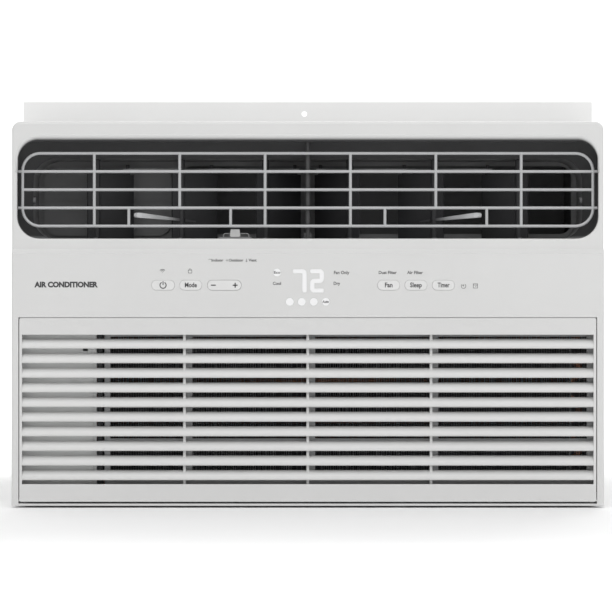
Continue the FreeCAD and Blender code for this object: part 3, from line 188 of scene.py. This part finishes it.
# painted shade: the lip's white turns dark grey going back into the well
tint(LIP_WITH_PAINTED_SHADE, (0.05, 0.05, 0.051), band(LIP_WITH_PAINTED_SHADE.node_tree, "Y", *LIP_PAINTED_SHADE_DEPTHS))
VANE = finish("vane_dark", (0.022, 0.022, 0.024), 0.55, grain=1200, bump=0.1, mottle=0.04)
GUARD = finish("guard_grey", (0.42, 0.425, 0.43), 0.36, grain=1500, bump=0.05, mottle=0.01)
LEVER_WITH_PAINTED_SHADE = finish("lever_light", (0.46, 0.465, 0.47), 0.34, grain=1500, mottle=0.01)
# painted shade: the pale lever darkens towards its tail deeper in the well
tint(LEVER_WITH_PAINTED_SHADE, (0.06, 0.06, 0.062), band(LEVER_WITH_PAINTED_SHADE.node_tree, "Y", *LEVER_PAINTED_SHADE_DEPTHS))
COVER = finish("cover_pale", (0.62, 0.625, 0.62), 0.55, grain=1000, bump=0.1, mottle=0.02)
FILTER = finish("filter_grey", (0.36, 0.362, 0.366), 0.6, grain=1000, mottle=0.03)
GUIDE = finish("guide_dark", (0.020, 0.021, 0.023), 0.6, grain=1000, mottle=0.05)
MESH = finish("mesh_dark", (0.020, 0.020, 0.022), 0.75, grain=2000, mottle=0.05)
PAINT = finish("cabinet_paint", (0.60, 0.60, 0.59), 0.45, grain=700, bump=0.22, mottle=0.012,
               wear=0.10)
RAIL = finish("rail_paint", (0.80, 0.80, 0.795), 0.42, grain=700, bump=0.15, mottle=0.01)
ZINC = finish("galvanised", (0.46, 0.48, 0.49), 0.42, 0.9, grain=160, bump=0.05, mottle=0.09,
              wear=0.25)
FIN = finish("fin_aluminium", (0.60, 0.61, 0.62), 0.36, 0.95, grain=600, mottle=0.05, wear=0.15)
COPPER = finish("copper", (0.60, 0.28, 0.16), 0.32, 1.0, grain=500, mottle=0.10, wear=0.15)
BLACK = finish("shell_black", (0.018, 0.018, 0.020), 0.38, grain=800, bump=0.15, mottle=0.05,
               wear=0.08)
RUBBER = finish("rubber_black", (0.016, 0.016, 0.016), 0.8, grain=900, bump=0.2, mottle=0.05)
FOAM = finish("foam_dark", (0.15, 0.15, 0.153), 0.8, grain=260, bump=0.5, mottle=0.02)
FAN = finish("fan_dark", (0.024, 0.026, 0.030), 0.5, grain=1000, mottle=0.05, wear=0.15)
STEEL = finish("steel_bare", (0.48, 0.49, 0.50), 0.3, 1.0, grain=900, mottle=0.06)
SCREW = finish("screw_dull", (0.20, 0.20, 0.205), 0.55, 0.5, grain=900, mottle=0.06)
CAN = finish("can_aluminium", (0.62, 0.63, 0.64), 0.3, 0.9, grain=900, mottle=0.03)
BOARD = finish("board_green", (0.012, 0.10, 0.04), 0.35, grain=600, mottle=0.08)
INK = finish("ink_dark", (0.045, 0.045, 0.048), 0.5, grain=1500, mottle=0.02)
INK_SOFT = finish("ink_soft", (0.09, 0.09, 0.092), 0.5, grain=1500, mottle=0.02)
LIGHT = glow("light_white", (0.78, 0.78, 0.785), 0.08)
LINK = finish("link_grey", (0.34, 0.34, 0.345), 0.5, grain=1200, mottle=0.03)

LOOKS = {
    WHITE: ["front_panel"], GRILLE: ["intake_grille"],
    KEY: ["vent_knob", "rocker_temperature", "button_power", "button_mode", "button_fan",
          "button_sleep", "button_timer"],
    DUCT: ["centre_divider", "control_housing"], WELL_WITH_PAINTED_LIGHT: ["outlet_duct"],
    VANE: ["vane_left_1", "vane_left_2", "vane_left_3", "vane_right_1", "vane_right_2",
           "vane_right_3"],
    GUARD: ["wire_guard"], LINK: ["link_left", "link_right"], LEVER_WITH_PAINTED_SHADE: ["lever_left", "lever_right"],
    COVER: ["side_cover"], MESH: ["filter_mesh"],
    FILTER: ["filter_frame"], GUIDE: ["filter_rails", "sensor_clips", "chassis_runners"],
    PAINT: ["cabinet_wrap"], RAIL: ["top_rail"],
    ZINC: ["bulkhead", "fan_motor", "motor_stand", "fan_shroud", "capacitor_strap", "base_pan",
           "vent_door"],
    FIN: ["evaporator_coil", "condenser_coil"],
    COPPER: ["evaporator_bends", "condenser_bends", "copper_lines", "sensor_bulb"],
    BLACK: ["compressor", "accumulator"],
    RUBBER: ["compressor_mounts", "drain_plug", "cord_gland"],
    FOAM: ["air_scroll", "orifice_plate"], FAN: ["blower_wheel", "condenser_fan"],
    STEEL: ["fan_shaft", "rail_screws"], SCREW: ["chassis_screws"], CAN: ["run_capacitor"],
    BOARD: ["control_board"], LIGHT: ["display_digits", "status_lights"],
}
BEVELS = {
    "front_panel": 0.8, "intake_grille": 0.35, "outlet_duct": 0.8, "centre_divider": 0.5,
    "side_cover": 0.4, "filter_frame": 0.4, "top_rail": 0.2, "bulkhead": 0.2, "base_pan": 0.3,
    "vane_left_1": 0.5, "vane_left_2": 0.5, "vane_left_3": 0.5, "vane_right_1": 0.5,
    "vane_right_2": 0.5, "vane_right_3": 0.5, "lever_left": 0.8, "lever_right": 0.8,
    "link_left": 0.3, "link_right": 0.3, "vent_knob": 0.8, "rail_screws": 0.6,
    "chassis_screws": 0.4, "air_scroll": 1.2, "run_capacitor": 0.8, "control_housing": 0.6,
    "condenser_fan": 0.4, "drain_plug": 0.6, "cord_gland": 0.6, "vent_door": 0.3,
}


def dress_nodes():
    """Give every CAD node its finish and break its sharp edges."""
    for material, names in LOOKS.items():
        for name in names:
            node = NODES[name]
            node.data.materials.clear()
            node.data.materials.append(material)
    for name, width in BEVELS.items():
        bevel = NODES[name].modifiers.new("soft_edge", "BEVEL")
        bevel.width = width * MM
        bevel.segments = 2
        bevel.limit_method = "ANGLE"
        bevel.angle_limit = math.radians(40)
        bevel.harden_normals = False


# --- mesh pieces --------------------------------------------------------------------------
def piece(name, mesh, material, body):
    """Link a mesh as a piece that rides on a body."""
    thing = bpy.data.objects.new(name, mesh)
    scene.collection.objects.link(thing)
    mesh.materials.append(material)
    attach(thing, body)
    return thing


def from_bmesh(name, work, material, body, smooth=False):
    """Turn a finished bmesh into a piece that rides on a body."""
    mesh = bpy.data.meshes.new(name)
    bmesh.ops.recalc_face_normals(work, faces=work.faces)
    for face in work.faces:
        face.smooth = smooth
    work.to_mesh(mesh)
    work.free()
    return piece(name, mesh, material, body)


def add_block(work, low, high):
    """Add one box between two corners to a bmesh."""
    spots = [work.verts.new((x, y, z)) for x in (low[0], high[0]) for y in (low[1], high[1])
             for z in (low[2], high[2])]
    for corners in ((0, 1, 3, 2), (4, 6, 7, 5), (0, 4, 5, 1), (2, 3, 7, 6), (0, 2, 6, 4),
                    (1, 5, 7, 3)):
        work.faces.new([spots[corner] for corner in corners])


def thicken(thing, name, wall):
    """Give a one-sided surface a wall behind it."""
    sheet = thing.modifiers.new(name, "SOLIDIFY")
    sheet.thickness = wall
    sheet.offset = -1


def add_rod(work, start, end, radius, sides=10):
    """Add a round bar between two points to a bmesh."""
    start, end = Vector(start), Vector(end)
    spin = (end - start).to_track_quat("Z", "Y").to_matrix().to_4x4()
    middle = Matrix.Translation((start + end) / 2) @ spin
    bmesh.ops.create_cone(work, cap_ends=True, segments=sides, radius1=radius, radius2=radius,
                          depth=(end - start).length, matrix=middle)


def fin_pack(node, body, pitch, rows, columns):
    """Thin upright fins between the end plates, threaded on copper-coloured tubes."""
    low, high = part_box(node)
    plate, gauge, start = 0.0016, 0.00022, 0.0020
    inset, trim, wave, tube_radius, tube_inset = 0.003, 0.002, 0.0006, 0.0042, 0.001
    work = bmesh.new()
    count = int((high[0] - low[0] - 2 * plate) / pitch)
    for index in range(count):
        x = low[0] + start + pitch * (index + 0.5)
        lean = wave * math.sin(index * 1.7) * math.sin(index * 0.13)
        add_block(work, (x + lean, low[1] + inset, low[2] + trim),
                  (x + lean + gauge, high[1] - inset, high[2] - trim))
    for x in (low[0], high[0] - plate):
        add_block(work, (x, low[1], low[2]), (x + plate, high[1], high[2]))
    fins = from_bmesh(node + "_fins", work, FIN, body)
    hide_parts(node)
    work = bmesh.new()
    for row in range(rows):
        z = low[2] + (high[2] - low[2]) * (row + 0.5) / rows
        for column in range(columns):
            y = low[1] + (high[1] - low[1]) * (column + 0.5) / columns
            add_rod(work, (low[0] + tube_inset, y, z), (high[0] - tube_inset, y, z), tube_radius)
    from_bmesh(node + "_tubes", work, COPPER, body, True)


def woven_filter():
    """Net of crossing strands in the filter frame."""
    low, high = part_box("filter_mesh")
    pitch, half = 0.0019, 0.00030
    middle = (low[1] + high[1]) / 2
    work = bmesh.new()
    x = low[0] + pitch / 2
    while x < high[0]:
        add_block(work, (x - half, middle, low[2]), (x + half, middle + half, high[2]))
        x += pitch
    z = low[2] + pitch / 2
    while z < high[2]:
        add_block(work, (low[0], middle - half, z - half), (high[0], middle, z + half))
        z += pitch
    net = from_bmesh("filter_net", work, MESH, "filter")
    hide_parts("filter_mesh")


def add_louvre(work, origin, along, drop, out, length, deep, bulge):
    """Add one pressed louvre: flush at its top and ends, lifted at its open lower edge."""
    steps, rows = 18, 5
    grid = []
    for row in range(rows + 1):
        fall = row / rows
        line = []
        for step in range(steps + 1):
            side = step / steps
            end = 1 - abs(2 * side - 1) ** 7
            lift = bulge * end * math.sin(fall * math.pi / 2) ** 0.8 + 0.00005
            line.append(work.verts.new(origin + along * (length * side) + drop * (deep * fall)
                                       + out * lift))
        grid.append(line)
    for row in range(rows):
        for step in range(steps):
            work.faces.new((grid[row][step], grid[row][step + 1], grid[row + 1][step + 1],
                            grid[row + 1][step]))


def louvres():
    """Pressed louvre hoods over the air slots of the cabinet's sides and top."""
    low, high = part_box("cabinet_wrap")
    pitch, deep, bulge, lap = 0.017, 0.0105, 0.0045, 0.002
    side_long, side_first, side_rows = 0.096, 0.070, 18
    top_long, top_first, top_rows, top_back = 0.184, 0.020, 8, 0.0055
    work = bmesh.new()
    across, ahead, up = Vector((1, 0, 0)), Vector((0, 1, 0)), Vector((0, 0, 1))
    for x, out in ((low[0], -across), (high[0], across)):
        for start in (0.0, 0.106):
            for index in range(side_rows):
                z = side_first + pitch * index
                origin = Vector((x, start - lap, z + deep))
                add_louvre(work, origin, ahead, -up, out, side_long, deep, bulge)
    for start in (-0.240, 0.060):
        for index in range(top_rows):
            y = top_first + pitch * index
            origin = Vector((start - lap, y - top_back, high[2]))
            add_louvre(work, origin, across, ahead, up, top_long, deep, bulge)
    hoods = from_bmesh("louvre_hoods", work, PAINT, "cabinet", True)
    thicken(hoods, "sheet", 0.0007)


def lip_line():
    """Left to right along the lip: a point, the way into the well, and the share of full size."""
    wide, low, top, corner = 0.3318, 0.380, 0.4235, 0.027
    bend_steps, top_steps = 12, 24
    centre = wide - corner
    line = [((-wide, low), (1, 0), 0.0)]
    for step in range(bend_steps + 1):
        angle = math.pi - math.pi / 2 * step / bend_steps
        out = (math.cos(angle), math.sin(angle))
        spot = (-centre + corner * out[0], top - corner + corner * out[1])
        line.append((spot, (-out[0], -out[1]), step / bend_steps))
    left = line[:]
    for step in range(1, top_steps):
        line.append(((-centre + 2 * centre * step / top_steps, top), (0, -1), 1.0))
    line += [((-spot[0], spot[1]), (-inward[0], inward[1]), grow)
             for spot, inward, grow in reversed(left)]
    return line


def well_lip():
    """Rolled white lip along the top of the outlet well, fading out down its round corners, with
    painted shade darkening its white inward from the face.
    """
    radius, face, smallest, roll_steps = 0.0085, -0.33104, 0.30, 8
    work = bmesh.new()
    rows = []
    for spot, inward, grow in lip_line():
        reach = radius * (smallest + (1 - smallest) * grow)
        row = []
        for step in range(roll_steps + 1):
            angle = math.pi / 2 * step / roll_steps
            run = reach * math.sin(angle)
            row.append(work.verts.new((spot[0] + inward[0] * run,
                                       face + reach * (1 - math.cos(angle)),
                                       spot[1] + inward[1] * run)))
        rows.append(row)
    for one, two in zip(rows[:-1], rows[1:]):
        for index in range(roll_steps):
            work.faces.new((one[index], one[index + 1], two[index + 1], two[index]))
    lip = from_bmesh("well_lip", work, LIP_WITH_PAINTED_SHADE, "chassis", True)
    thicken(lip, "wall", 0.0004)


def vent_rim():
    """Thin pale hoop behind the knob of the fresh-air slot."""
    work = bmesh.new()
    left, right, back, foot, top, bend = -0.0965, -0.0675, -0.3048, 0.3062, 0.3114, 0.0016
    radius, sides = 0.0006, 8
    spots = [(left, foot), (left, top - bend), (left + bend, top), (right - bend, top),
             (right, top - bend), (right, foot)]
    for start, end in zip(spots[:-1], spots[1:]):
        add_rod(work, (start[0], back, start[1]), (end[0], back, end[1]), radius, sides)
    from_bmesh("vent_rim", work, GUARD, "chassis", True)


def screw_recess_shade():
    """Dark crosses on the rail screw heads, painted shade standing in for their cross recesses."""
    screws, arm, radius, sides = 5, 0.0026, 0.00045, 6
    work = bmesh.new()
    low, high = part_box("rail_screws")
    head = (high[1] - low[1]) / 2
    y = (low[1] + high[1]) / 2
    for index in range(screws):
        x = low[0] + head + (high[0] - low[0] - 2 * head) * index / (screws - 1)
        turn = 0.4 + index * 1.1
        for quarter in (0, math.pi / 2):
            run = Vector((math.cos(turn + quarter), math.sin(turn + quarter), 0)) * arm
            middle = Vector((x, y, high[2]))
            add_rod(work, middle - run, middle + run, radius, sides)
    # painted shade: dark rods drawn where the screws' cross recesses would be in shadow
    from_bmesh("rail_screw_recess_shade", work, INK, "cabinet")


# --- printed marks ------------------------------------------------------------------------
FACE_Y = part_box("intake_grille")[0][1]
KEY_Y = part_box("button_power")[0][1]
PRINT = 0.00004
SIZE_PER_HEIGHT = 1.38
KEY_WORD_TALL, KEY_WORD_BOLD = 0.0054, 0.00019
LABEL_BOLD, TYPE_WORD_BOLD = 0.00013, 0.00045
LIGHT_WORD_TALL, LIGHT_WORD_WIDE, LIGHT_WORD_BOLD, LIGHT_WORD_PROUD = 0.0030, 0.0074, 0.0001, 0.0001


def words(name, text, x, z, tall, material, body, y=None, wide=None, bold=0.0):
    """Flat printed word centred at a point on the face."""
    curve = bpy.data.curves.new(name, "FONT")
    curve.body = text
    curve.size = tall * SIZE_PER_HEIGHT
    curve.align_x = "CENTER"
    curve.align_y = "CENTER"
    curve.offset = bold
    curve.extrude = PRINT
    curve.resolution_u = 3
    maker = bpy.data.objects.new(name + "_maker", curve)
    scene.collection.objects.link(maker)
    bpy.context.view_layer.update()
    mesh = bpy.data.meshes.new_from_object(maker.evaluated_get(
        bpy.context.evaluated_depsgraph_get()))
    bpy.data.objects.remove(maker)
    mesh.name = name
    xs = [vertex.co.x for vertex in mesh.vertices]
    stretch = wide / (max(xs) - min(xs)) if wide else 1.0
    level = (FACE_Y if y is None else y) - PRINT
    mesh.transform(Matrix.Translation((x, level, z)) @ Matrix.Rotation(math.pi / 2, 4, "X")
                   @ Matrix.Diagonal((stretch, 1, 1, 1)))
    mesh.materials.clear()
    return piece(name, mesh, material, body)


def stroke_ring(start, end, half):
    """Outline of one round-ended stroke, half a width either side of its line."""
    run = (end - start).normalized()
    side = Vector((-run.z, 0, run.x)) * half
    ring = []
    for centre, first in ((end, 0), (start, 1)):
        for step in range(7):
            angle = -math.pi / 2 + math.pi * step / 6 + math.pi * first
            ring.append(centre + run * (half * math.cos(angle)) + side * math.sin(angle))
    return ring


def strokes(name, lines, wide, x, z, material, body, y=None):
    """Flat printed mark made of round-ended strokes, given in mm about its centre."""
    work = bmesh.new()
    level = FACE_Y if y is None else y
    half = wide / 2 * MM
    for line in lines:
        spots = [Vector((x + a * MM, 0, z + b * MM)) for a, b in line]
        for start, end in zip(spots[:-1], spots[1:]):
            ring = stroke_ring(start, end, half)
            outer = [work.verts.new((p.x, level - PRINT * 2, p.z)) for p in ring]
            inner = [work.verts.new((p.x, level + PRINT, p.z)) for p in ring]
            work.faces.new(outer)
            work.faces.new(inner[::-1])
            for index in range(len(ring)):
                other = (index + 1) % len(ring)
                work.faces.new((outer[index], inner[index], inner[other], outer[other]))
    return from_bmesh(name, work, material, body)


def arc(radius, start, end, x=0.0, z=0.0, steps=14):
    """Points along an arc, in mm, angles in degrees."""
    spots = []
    for step in range(steps + 1):
        angle = math.radians(start + (end - start) * step / steps)
        spots.append((x + radius * math.cos(angle), z + radius * math.sin(angle)))
    return spots


def middle_of(node):
    """Middle of a node's front, as x and z."""
    low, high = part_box(node)
    return (low[0] + high[0]) / 2, (low[2] + high[2]) / 2


def key_marks():
    """Power symbol, words on the keys, and minus and plus on the rocker."""
    x, z = middle_of("button_power")
    strokes("mark_power", [arc(3.5, 125, 415), [(0, 0.6), (0, 4.2)]], 1.05, x, z, INK,
            "key_power", KEY_Y)
    for key, wide in (("mode", 0.0136), ("fan", 0.0086), ("sleep", 0.0132), ("timer", 0.0136)):
        x, z = middle_of("button_" + key)
        words("word_" + key, key.capitalize(), x, z, KEY_WORD_TALL, INK, "key_" + key, KEY_Y,
              wide, KEY_WORD_BOLD)
    x, z = middle_of("rocker_temperature")
    strokes("mark_minus", [[(-2.2, 0), (2.2, 0)]], 1.3, x - 0.0125, z, INK, "rocker", KEY_Y)
    strokes("mark_plus", [[(-2.3, 0), (2.3, 0)], [(0, -2.3), (0, 2.3)]], 1.3, x + 0.0122, z,
            INK, "rocker", KEY_Y)


def face_marks():
    """Small printed words and pictograms on the control face."""
    labels = (
        ("indoor", "Indoor", -102.6, 280.2, 13.4, 3.2),
        ("outdoor", "Outdoor", -81.4, 280.2, 16.6, 3.2),
        ("vent", "Vent", -62.5, 280.2, 9.2, 3.2), ("cool", "Cool", -34.9, 253.9, 9.4, 3.4),
        ("fan_only", "Fan Only", 38.2, 266.2, 17.6, 3.6), ("dry", "Dry", 32.8, 253.9, 7.4, 3.6),
        ("dust_filter", "Dust Filter", 90.4, 266.2, 20.4, 3.5),
        ("air_filter", "Air Filter", 121.6, 266.2, 18.0, 3.5),
        ("type_word", "AIR CONDITIONER", -274.0, 252.4, 72.0, 6.0),
    )
    for name, text, x, z, wide, tall in labels:
        material = INK if name == "type_word" else INK_SOFT
        words("label_" + name, text, x * MM, z * MM, tall * MM, material, "chassis",
              wide=wide * MM, bold=TYPE_WORD_BOLD if name == "type_word" else LABEL_BOLD)
    lights = (("eco", "Eco", -34.9, 266.4), ("auto", "Auto", 20.4, 233.2))
    for name, text, x, z in lights:
        words("label_" + name, text, x * MM, z * MM, LIGHT_WORD_TALL, INK_SOFT, "chassis",
              y=FACE_Y - LIGHT_WORD_PROUD, wide=LIGHT_WORD_WIDE, bold=LIGHT_WORD_BOLD)
    fans = [arc(3.6, 45, 135, 0, -1.6), arc(2.1, 45, 135, 0, -1.6), [(0, -1.5), (0, -1.3)]]
    strokes("mark_wireless", fans, 0.6, -0.1647, 0.2680, INK_SOFT, "chassis")
    lock = [[(-2, -2.4), (2, -2.4), (2, 0.8), (-2, 0.8), (-2, -2.4)], arc(1.3, 0, 180, 0, 1.0)]
    strokes("mark_lock", lock, 0.5, -0.1334, 0.2682, INK_SOFT, "chassis")
    clock = [arc(2.6, 130, 410), [(0, 0), (0, 1.8)], [(0, 0), (-1.5, 1.1)]]
    strokes("mark_clock", clock, 0.5, 0.1766, 0.2510, INK_SOFT, "chassis")
    square = [[(-2.4, -2.4), (2.4, -2.4), (2.4, 2.4), (-2.4, 2.4), (-2.4, -2.4)],
              [(-2.4, 1.0), (2.4, 1.0)], [(0.2, -0.8), (1.1, 0.0)]]
    strokes("mark_square", square, 0.5, 0.1900, 0.2512, INK_SOFT, "chassis")
    tick = [[(-1.3, 1.5), (0, 2.2), (1.3, 1.5)]]
    strokes("mark_indoor", tick, 0.4, -0.1110, 0.2795, INK_SOFT, "chassis")
    strokes("mark_outdoor", [[(0, -1.4), (0, 1.4)], [(-1, 0), (1, 0)]], 0.4, -0.0915, 0.2802,
            INK_SOFT, "chassis")
    strokes("mark_vent", [[(0, 1.5), (0, -1.6)], [(-0.9, -0.8), (0, -1.6), (0.9, -0.8)]], 0.5,
            -0.0695, 0.2802, INK_SOFT, "chassis")


# --- stage --------------------------------------------------------------------------------
def area_light(name, spot, aim, wide, power, tall=None):
    """Soft rectangular lamp at a spot, turned towards its aim."""
    data = bpy.data.lights.new(name, "AREA")
    data.shape = "RECTANGLE"
    data.size = wide
    data.size_y = tall or wide
    data.energy = power
    lamp = bpy.data.objects.new(name, data)
    scene.collection.objects.link(lamp)
    lamp.location = spot
    lamp.rotation_euler = (Vector(aim) - Vector(spot)).to_track_quat("-Z", "Y").to_euler()
    return lamp


def pale_floor():
    """Floor that curves up into a wall far behind, just under the object's base."""
    front, back, bend, top, half_wide, gap, steps = -30.0, 8.0, 3.0, 8.0, 20.0, 0.0004, 12
    profile = [(front, 0.0), (back, 0.0)]
    for step in range(1, steps + 1):
        angle = math.pi / 2 * step / steps
        profile.append((back + bend * math.sin(angle), bend - bend * math.cos(angle)))
    profile.append((back + bend, top))
    work = bmesh.new()
    lines = [[work.verts.new((x, y, z - gap)) for y, z in profile]
             for x in (-half_wide, half_wide)]
    for index in range(len(profile) - 1):
        work.faces.new((lines[0][index], lines[1][index], lines[1][index + 1],
                        lines[0][index + 1]))
    floor = bpy.data.meshes.new("floor")
    work.to_mesh(floor)
    work.free()
    ground = bpy.data.objects.new("floor", floor)
    scene.collection.objects.link(ground)
    floor.materials.append(finish("floor_pale", (0.95, 0.95, 0.95), 0.9, grain=60, mottle=0.004))
    ground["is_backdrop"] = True


def studio_light():
    """Even white surroundings and four soft lamps."""
    world = bpy.data.worlds.new("studio")
    scene.world = world
    world.use_nodes = True
    world.node_tree.nodes["Background"].inputs["Color"].default_value = (1, 1, 1, 1)
    world.node_tree.nodes["Background"].inputs["Strength"].default_value = 0.62
    area_light("key", (-0.4, -2.4, 3.0), (0, -0.3, 0.25), 2.4, 50)
    area_light("fill", (1.9, -2.2, 1.2), (0, -0.3, 0.25), 1.6, 10)
    area_light("rear", (0.4, 2.4, 2.6), (0, 0.2, 0.3), 2.0, 40)
    area_light("backdrop", (0.0, 5.0, 5.5), (0, 8.5, 0.0), 7.0, 330, 3.5)


def front_camera():
    """Level camera square to the front, at about mid height."""
    aside, distance, seen, height, sensor = -0.002, 3.0, 0.6935, 0.2290, 36.0
    data = bpy.data.cameras.new("camera")
    camera = bpy.data.objects.new("camera", data)
    scene.collection.objects.link(camera)
    data.sensor_width = sensor
    data.lens = sensor * distance / seen
    camera.location = (aside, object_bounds()[0][1] - distance, height)
    camera.rotation_euler = (math.pi / 2, 0, 0)
    scene.camera = camera


dress_nodes()
fin_pack("condenser_coil", "chassis", 0.0021, 16, 2)
fin_pack("evaporator_coil", "chassis", 0.0021, 12, 2)
woven_filter()
louvres()
well_lip()
vent_rim()
screw_recess_shade()
key_marks()
face_marks()
pale_floor()
studio_light()
front_camera()
